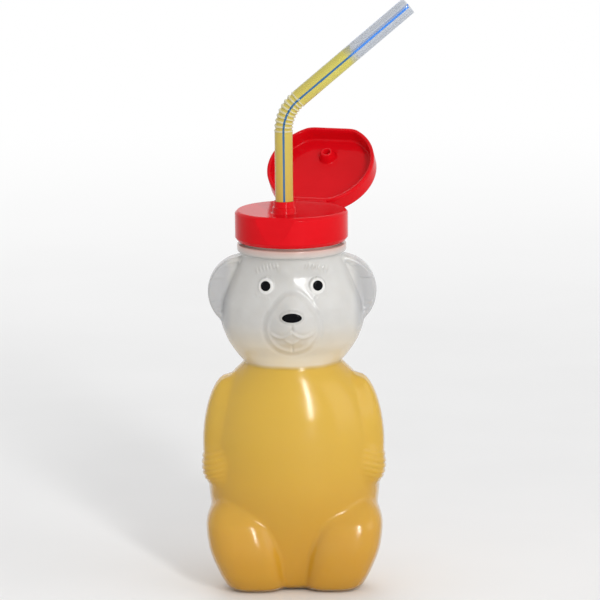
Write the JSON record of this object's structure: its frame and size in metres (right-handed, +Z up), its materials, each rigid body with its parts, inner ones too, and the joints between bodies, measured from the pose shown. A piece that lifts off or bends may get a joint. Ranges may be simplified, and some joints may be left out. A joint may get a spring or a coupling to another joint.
{
  "type": "bear-shaped squeeze bottle with straw",
  "caption": "Bear-shaped plastic squeeze bottle with a screw cap, a flip lid on a living hinge and a bendy drinking straw through the spout.",
  "frame": {"origin": "where the bottle's upright axis meets the surface that it stands on", "axes": "+Z up along the axis of the neck, -Y the way the bear looks, +X on the right of a viewer who faces the bear"},
  "size_m": [0.0781, 0.0787, 0.2158],
  "materials": {
    "bottle_plastic": "milky translucent low-density polyethylene, satin gloss",
    "face_print": "glossy black ink",
    "cap_plastic": "glossy red polypropylene",
    "seal_liner": "white foamed liner",
    "straw_plastic": "clear polypropylene with blue stripes"
  },
  "bodies": {
    "bottle": {"bear_bottle": "bottle_plastic", "left_eye": "face_print", "right_eye": "face_print", "nose": "face_print"},
    "seal": {"seal_ring": "seal_liner"},
    "cap": {"cap_base": "cap_plastic", "hinge_web": "cap_plastic"},
    "lid": {"flip_lid": "cap_plastic"},
    "straw": {"straw_lower": "straw_plastic"},
    "straw_turn": {"straw_bellows": "straw_plastic"},
    "straw_end": {"straw_upper": "straw_plastic"}
  },
  "joints": [
    {"name": "cap_rise", "type": "slide", "parent": "bottle", "child": "seal", "axis": [0, 0, 1], "range_m": [0, 0.0053]},
    {"name": "cap_turn", "type": "hinge", "parent": "seal", "child": "cap", "pos_m": [0, 0, 0.1372], "axis": [0, 0, 1], "range_deg": [0, 450]},
    {"name": "lid_flip", "type": "hinge", "parent": "cap", "child": "lid", "pos_m": [0.00587, 0.01807, 0.1385], "axis": [-0.9511, 0.309, 0], "range_deg": [-86, 0], "deforming": ["hinge_web"]},
    {"name": "straw_slide", "type": "slide", "parent": "cap", "child": "straw", "axis": [0, 0, 1], "range_m": [0, 0.125]},
    {"name": "straw_swivel", "type": "hinge", "parent": "straw", "child": "straw_turn", "pos_m": [-0.00241, -0.00742, 0.1619], "axis": [0, 0, 1], "continuous": true},
    {"name": "straw_bend", "type": "hinge", "parent": "straw_turn", "child": "straw_end", "pos_m": [-0.00241, -0.00742, 0.17539], "axis": [0, 1, 0], "range_deg": [-50, 40], "deforming": ["straw_bellows"]}
  ],
  "couplings": [
    {"joint": "cap_rise", "follows": "cap_turn", "m_per_rad": 0.00067375}
  ]
}
